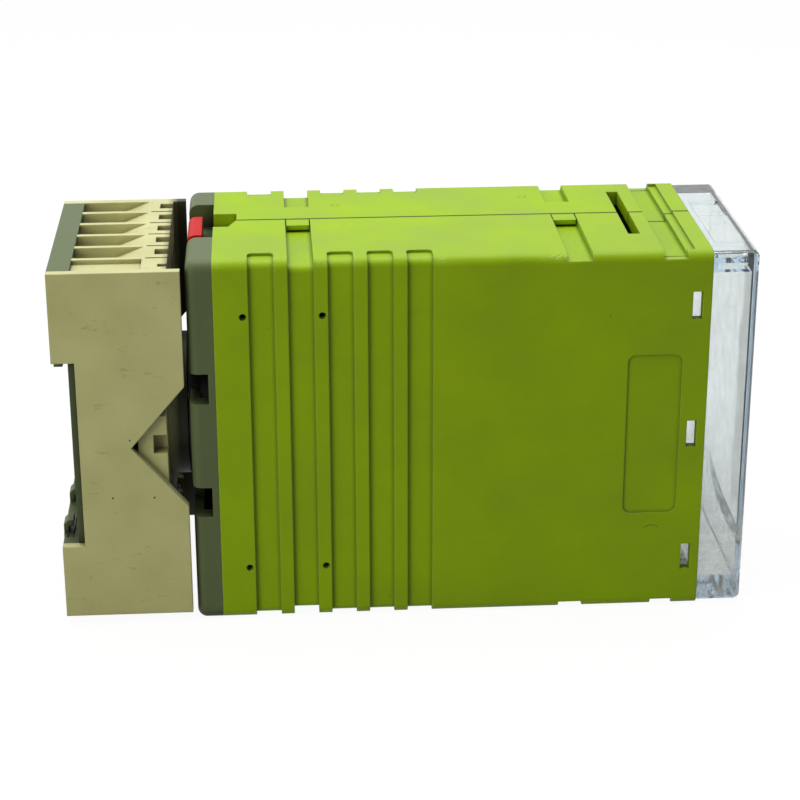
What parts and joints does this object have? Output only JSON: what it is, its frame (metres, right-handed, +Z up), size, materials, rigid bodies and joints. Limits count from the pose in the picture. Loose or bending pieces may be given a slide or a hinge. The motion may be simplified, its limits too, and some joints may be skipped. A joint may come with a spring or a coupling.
{
  "type": "digital timer relay",
  "caption": "Plug-in digital timer relay in a ribbed two-half housing with a clear front cover, seated in a rail-mounted pin socket.",
  "frame": {"origin": "middle of the rail seat, on the seat's face", "axes": "+X from the rail to the relay's front, +Y along the rail, +Z up as mounted"},
  "size_m": [0.1268, 0.045, 0.07],
  "materials": {
    "beige_plastic": "fine moulded",
    "grey_plastic": "fine moulded",
    "base_grey_plastic": "fine moulded",
    "green_plastic": "fine textured",
    "red_plastic": "moulded",
    "clear_plastic": "clear",
    "spring_steel": "bright",
    "plated_steel": "dull plated",
    "contact_brass": "dull",
    "black_plastic": "moulded",
    "panel_plastic": "fine textured",
    "wheel_plastic": "moulded",
    "knob_plastic": "moulded",
    "lamp_lens": "clear tinted",
    "circuit_board": "lacquered",
    "core_steel": "varnished laminations",
    "winding_wrap": "tape wrap",
    "relay_case": "moulded",
    "can_sleeve": "sleeved can",
    "chip_plastic": "moulded",
    "resistor_coat": "lacquered"
  },
  "bodies": {
    "socket": {"socket_body": "beige_plastic", "rail_plate": "grey_plastic", "clip_spring": "spring_steel", "pin_contacts": "contact_brass", "upper_terminal_screws": "plated_steel", "lower_terminal_screws": "plated_steel", "upper_wire_clamps": "plated_steel", "lower_wire_clamps": "plated_steel"},
    "relay": {"plug_disc": "black_plastic", "plug_pins": "contact_brass", "base_cap": "base_grey_plastic", "near_shell": "green_plastic", "far_shell": "green_plastic", "front_panel": "panel_plastic", "wheel_frame": "black_plastic", "wheel_axle": "plated_steel", "selector_switch": "black_plastic", "status_leds": "lamp_lens", "main_board": "circuit_board", "control_board": "circuit_board", "transformer_core": "core_steel", "transformer_winding": "winding_wrap", "output_relay": "relay_case", "filter_capacitors": "can_sleeve", "logic_chips": "chip_plastic", "resistors": "resistor_coat"},
    "rail_clip": {"rail_clip": "grey_plastic"},
    "lock": {"lock_slide": "red_plastic"},
    "cover": {"clear_cover": "clear_plastic"},
    "selector": {"range_selector": "knob_plastic"},
    "wheel_1": {"digit_wheel_1": "wheel_plastic"},
    "wheel_2": {"digit_wheel_2": "wheel_plastic"},
    "wheel_3": {"digit_wheel_3": "wheel_plastic"},
    "wheel_4": {"digit_wheel_4": "wheel_plastic"}
  },
  "joints": [
    {"name": "relay_plug", "type": "slide", "parent": "socket", "child": "relay", "axis": [1, 0, 0], "range_m": [0, 0.02]},
    {"name": "rail_clip_pull", "type": "slide", "parent": "socket", "child": "rail_clip", "axis": [0, 0, -1], "range_m": [0, 0.0035], "stiffness_N_per_m": 900, "springref_m": -0.002, "deforming": ["clip_spring"]},
    {"name": "lock_push", "type": "slide", "parent": "relay", "child": "lock", "axis": [1, 0, 0], "range_m": [0, 0.002]},
    {"name": "cover_pull", "type": "slide", "parent": "relay", "child": "cover", "axis": [1, 0, 0], "range_m": [0, 0.014]},
    {"name": "range_turn", "type": "hinge", "parent": "relay", "child": "selector", "pos_m": [0.1, -0.008, -0.0137], "axis": [1, 0, 0], "range_deg": [-60, 60]},
    {"name": "wheel_1_turn", "type": "hinge", "parent": "relay", "child": "wheel_1", "pos_m": [0.1029, 0, 0.0133], "axis": [0, 1, 0], "continuous": true},
    {"name": "wheel_2_turn", "type": "hinge", "parent": "relay", "child": "wheel_2", "pos_m": [0.1029, 0, 0.0133], "axis": [0, 1, 0], "continuous": true},
    {"name": "wheel_3_turn", "type": "hinge", "parent": "relay", "child": "wheel_3", "pos_m": [0.1029, 0, 0.0133], "axis": [0, 1, 0], "continuous": true},
    {"name": "wheel_4_turn", "type": "hinge", "parent": "relay", "child": "wheel_4", "pos_m": [0.1029, 0, 0.0133], "axis": [0, 1, 0], "continuous": true}
  ]
}
